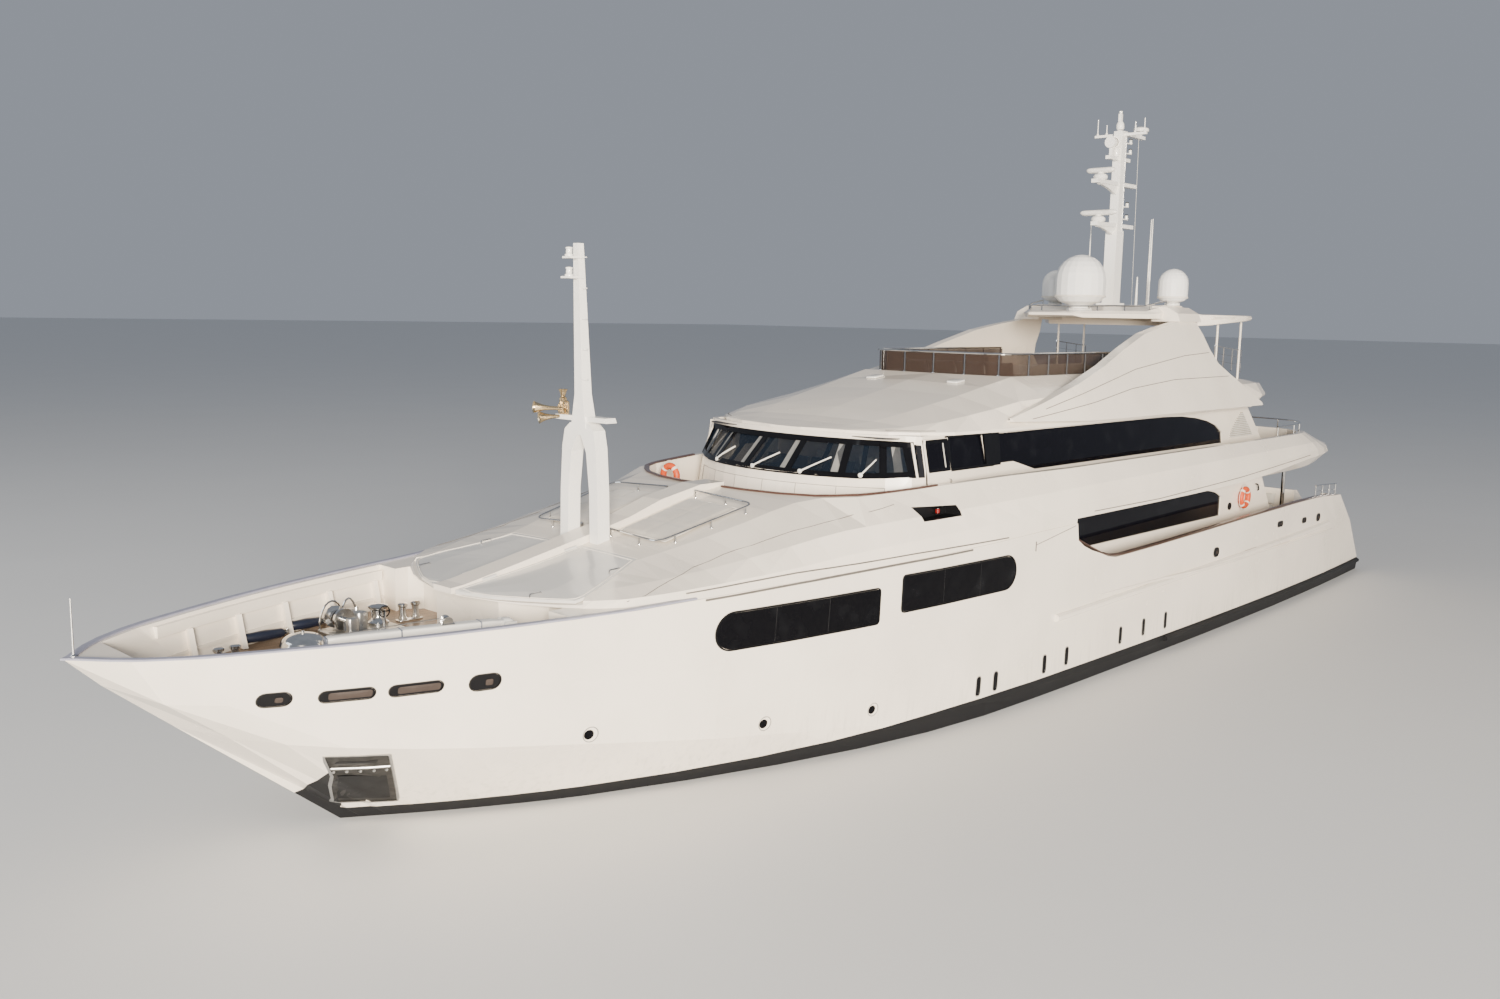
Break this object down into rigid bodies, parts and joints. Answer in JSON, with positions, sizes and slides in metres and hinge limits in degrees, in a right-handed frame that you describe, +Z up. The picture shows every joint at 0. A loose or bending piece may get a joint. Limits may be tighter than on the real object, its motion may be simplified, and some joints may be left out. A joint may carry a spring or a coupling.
{
  "type": "motor yacht, 1:2 scale model",
  "caption": "Motor yacht with raised wheelhouse, radar arch, foredeck well and bathing platform, made as a half-size scale model.",
  "frame": {"origin": "amidships on the centreline at the waterline", "axes": "+X to the bow, +Y to port, +Z up"},
  "size_m": [22.535, 5.04, 9.16],
  "materials": {
    "yacht_white": "gloss",
    "tinted_glass": "gloss",
    "polished_steel": "polished",
    "cushion_fabric": "woven",
    "bronze": "satin",
    "dark_trim": "matte"
  },
  "bodies": {
    "ship": {"hull": "yacht_white", "foredeck": "yacht_white", "sun_deck": "yacht_white", "arch_wing_port": "yacht_white", "arch_wing_starboard": "yacht_white", "foremast": "yacht_white", "upper_deck": "yacht_white", "wheelhouse_shell": "yacht_white", "upper_house": "yacht_white", "hardtop": "yacht_white", "main_mast": "yacht_white", "large_dome": "yacht_white", "small_dome_port": "yacht_white", "small_dome_starboard": "yacht_white", "main_house": "yacht_white", "crane_post": "yacht_white", "bridge_window_port": "tinted_glass", "bridge_window_starboard": "tinted_glass", "upper_windows_port": "tinted_glass", "upper_windows_starboard": "tinted_glass", "saloon_windows_port": "tinted_glass", "saloon_windows_starboard": "tinted_glass", "wheelhouse_glass": "tinted_glass", "sundeck_screen": "tinted_glass", "aft_column_port": "polished_steel", "aft_column_starboard": "polished_steel", "sunpad_rail_port": "polished_steel", "sunpad_rail_starboard": "polished_steel", "screen_rail": "polished_steel", "windlass": "polished_steel", "well_hatch": "polished_steel", "jackstaff": "polished_steel", "upper_aft_rail": "polished_steel", "aft_rail_port": "polished_steel", "aft_rail_starboard": "polished_steel", "sunpad_port": "cushion_fabric", "sunpad_starboard": "cushion_fabric", "helm_seats": "cushion_fabric", "sundeck_sofa": "cushion_fabric", "aft_sofa": "cushion_fabric", "upper_aft_sofa": "cushion_fabric", "helm_console": "dark_trim"},
    "propeller_port": {"propeller_port": "bronze"},
    "propeller_starboard": {"propeller_starboard": "bronze"},
    "rudder_port": {"rudder_port": "yacht_white"},
    "rudder_starboard": {"rudder_starboard": "yacht_white"},
    "hatch_lid_port": {"hatch_lid_port": "yacht_white"},
    "hatch_lid_starboard": {"hatch_lid_starboard": "yacht_white"},
    "crane_boom": {"crane_boom": "yacht_white"},
    "transom_door": {"transom_door": "yacht_white"},
    "wheelhouse_door_port": {"wheelhouse_door_port": "yacht_white"},
    "wheelhouse_door_starboard": {"wheelhouse_door_starboard": "yacht_white"},
    "saloon_door_port": {"saloon_door_port": "tinted_glass"},
    "saloon_door_starboard": {"saloon_door_starboard": "tinted_glass"},
    "upper_aft_door": {"upper_aft_door": "tinted_glass"},
    "radar_lower": {"radar_lower": "yacht_white"},
    "radar_upper": {"radar_upper": "yacht_white"}
  },
  "joints": [
    {"name": "propeller_port_spin", "type": "hinge", "parent": "ship", "child": "propeller_port", "pos_m": [-9.2, 0.95, -0.875], "axis": [1, 0, 0], "continuous": true},
    {"name": "propeller_starboard_spin", "type": "hinge", "parent": "ship", "child": "propeller_starboard", "pos_m": [-9.2, -0.95, -0.875], "axis": [1, 0, 0], "continuous": true},
    {"name": "rudder_port_turn", "type": "hinge", "parent": "ship", "child": "rudder_port", "pos_m": [-9.95, 0.95, 0], "axis": [0, 0, 1], "range_deg": [-35, 35]},
    {"name": "rudder_starboard_turn", "type": "hinge", "parent": "ship", "child": "rudder_starboard", "pos_m": [-9.95, -0.95, 0], "axis": [0, 0, 1], "range_deg": [-35, 35]},
    {"name": "hatch_port_hinge", "type": "hinge", "parent": "ship", "child": "hatch_lid_port", "pos_m": [6.26, 0.16785, 2.255], "axis": [0.9867, 0, -0.1623], "range_deg": [0, 70]},
    {"name": "hatch_starboard_hinge", "type": "hinge", "parent": "ship", "child": "hatch_lid_starboard", "pos_m": [6.26, -0.16785, 2.255], "axis": [-0.9867, 0, 0.1623], "range_deg": [0, 70]},
    {"name": "crane_luff", "type": "hinge", "parent": "ship", "child": "crane_boom", "pos_m": [7.925, 1.15, 1.85], "axis": [-0.283, -0.9591, 0], "range_deg": [0, 60]},
    {"name": "transom_door_hinge", "type": "hinge", "parent": "ship", "child": "transom_door", "pos_m": [-10.43, 0, 1], "axis": [0, 1, 0], "range_deg": [0, 95]},
    {"name": "wheelhouse_door_port_slide", "type": "slide", "parent": "ship", "child": "wheelhouse_door_port", "axis": [-1, 0, 0], "range_m": [0, 0.42]},
    {"name": "wheelhouse_door_starboard_slide", "type": "slide", "parent": "ship", "child": "wheelhouse_door_starboard", "axis": [-1, 0, 0], "range_m": [0, 0.42]},
    {"name": "saloon_door_port_slide", "type": "slide", "parent": "ship", "child": "saloon_door_port", "axis": [0, 1, 0], "range_m": [0, 0.6]},
    {"name": "saloon_door_starboard_slide", "type": "slide", "parent": "ship", "child": "saloon_door_starboard", "axis": [0, -1, 0], "range_m": [0, 0.6]},
    {"name": "upper_aft_door_slide", "type": "slide", "parent": "ship", "child": "upper_aft_door", "axis": [0, 1, 0], "range_m": [0, 0.65]},
    {"name": "radar_lower_spin", "type": "hinge", "parent": "ship", "child": "radar_lower", "pos_m": [-4.4, 0, 6.3], "axis": [0, 0, 1], "continuous": true},
    {"name": "radar_upper_spin", "type": "hinge", "parent": "ship", "child": "radar_upper", "pos_m": [-4.4, 0, 6.96], "axis": [0, 0, 1], "continuous": true}
  ]
}
